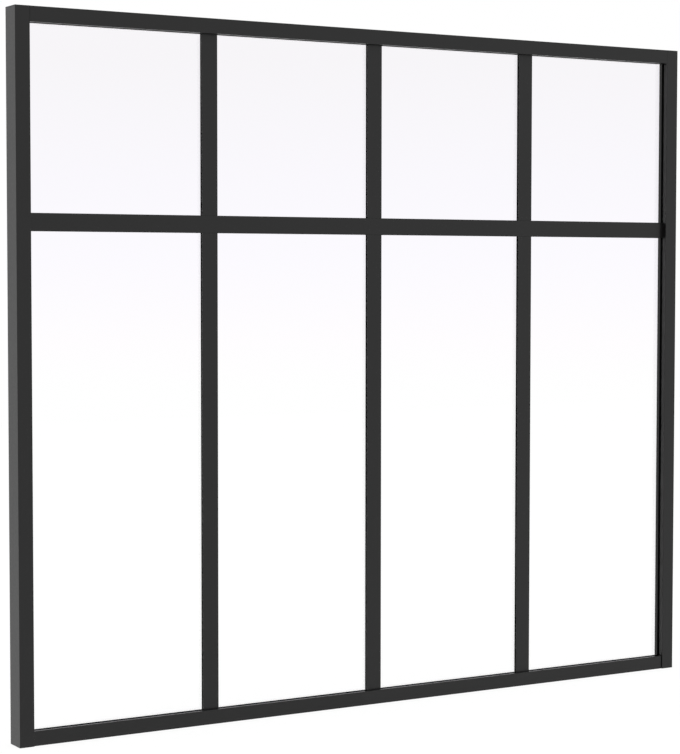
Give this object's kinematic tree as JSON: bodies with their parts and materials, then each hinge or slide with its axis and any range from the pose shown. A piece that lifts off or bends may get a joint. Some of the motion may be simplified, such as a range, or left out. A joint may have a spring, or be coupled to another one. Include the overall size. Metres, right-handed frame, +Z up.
{
  "type": "workshop-style interior window",
  "caption": "Fixed interior window in black coated aluminium: a slim frame, upright glazing bars and a transom, with short clear panes above tall ones.",
  "frame": {"origin": "middle of the underside of the bottom rail, half way through the frame's depth", "axes": "+X along the window to the right as seen from its front, +Y from the front to the beaded back, +Z up"},
  "size_m": [1.23, 0.036, 1.08],
  "materials": {
    "frame_coating": "satin black powder coat on extruded aluminium",
    "bar_coating": "satin black powder coat on extruded aluminium",
    "bead_coating": "satin black powder coat on extruded aluminium",
    "window_glass": "clear float glass, polished faces",
    "seal_rubber": "matt black extruded rubber",
    "block_plastic": "matt black moulded plastic"
  },
  "bodies": {
    "root": {"left_stile": "frame_coating", "right_stile": "frame_coating", "bottom_rail": "frame_coating", "top_rail": "frame_coating", "mullion_1": "bar_coating", "mullion_2": "bar_coating", "mullion_3": "bar_coating", "transom": "bar_coating", "upper_pane_1": "window_glass", "upper_seal_1": "seal_rubber", "upper_beads_1": "bead_coating", "upper_pane_2": "window_glass", "upper_seal_2": "seal_rubber", "upper_beads_2": "bead_coating", "upper_pane_3": "window_glass", "upper_seal_3": "seal_rubber", "upper_beads_3": "bead_coating", "upper_pane_4": "window_glass", "upper_seal_4": "seal_rubber", "upper_beads_4": "bead_coating", "upper_setting_blocks": "block_plastic", "lower_pane_1": "window_glass", "lower_seal_1": "seal_rubber", "lower_beads_1": "bead_coating", "lower_pane_2": "window_glass", "lower_seal_2": "seal_rubber", "lower_beads_2": "bead_coating", "lower_pane_3": "window_glass", "lower_seal_3": "seal_rubber", "lower_beads_3": "bead_coating", "lower_pane_4": "window_glass", "lower_seal_4": "seal_rubber", "lower_beads_4": "bead_coating", "lower_setting_blocks": "block_plastic"}
  },
  "joints": []
}
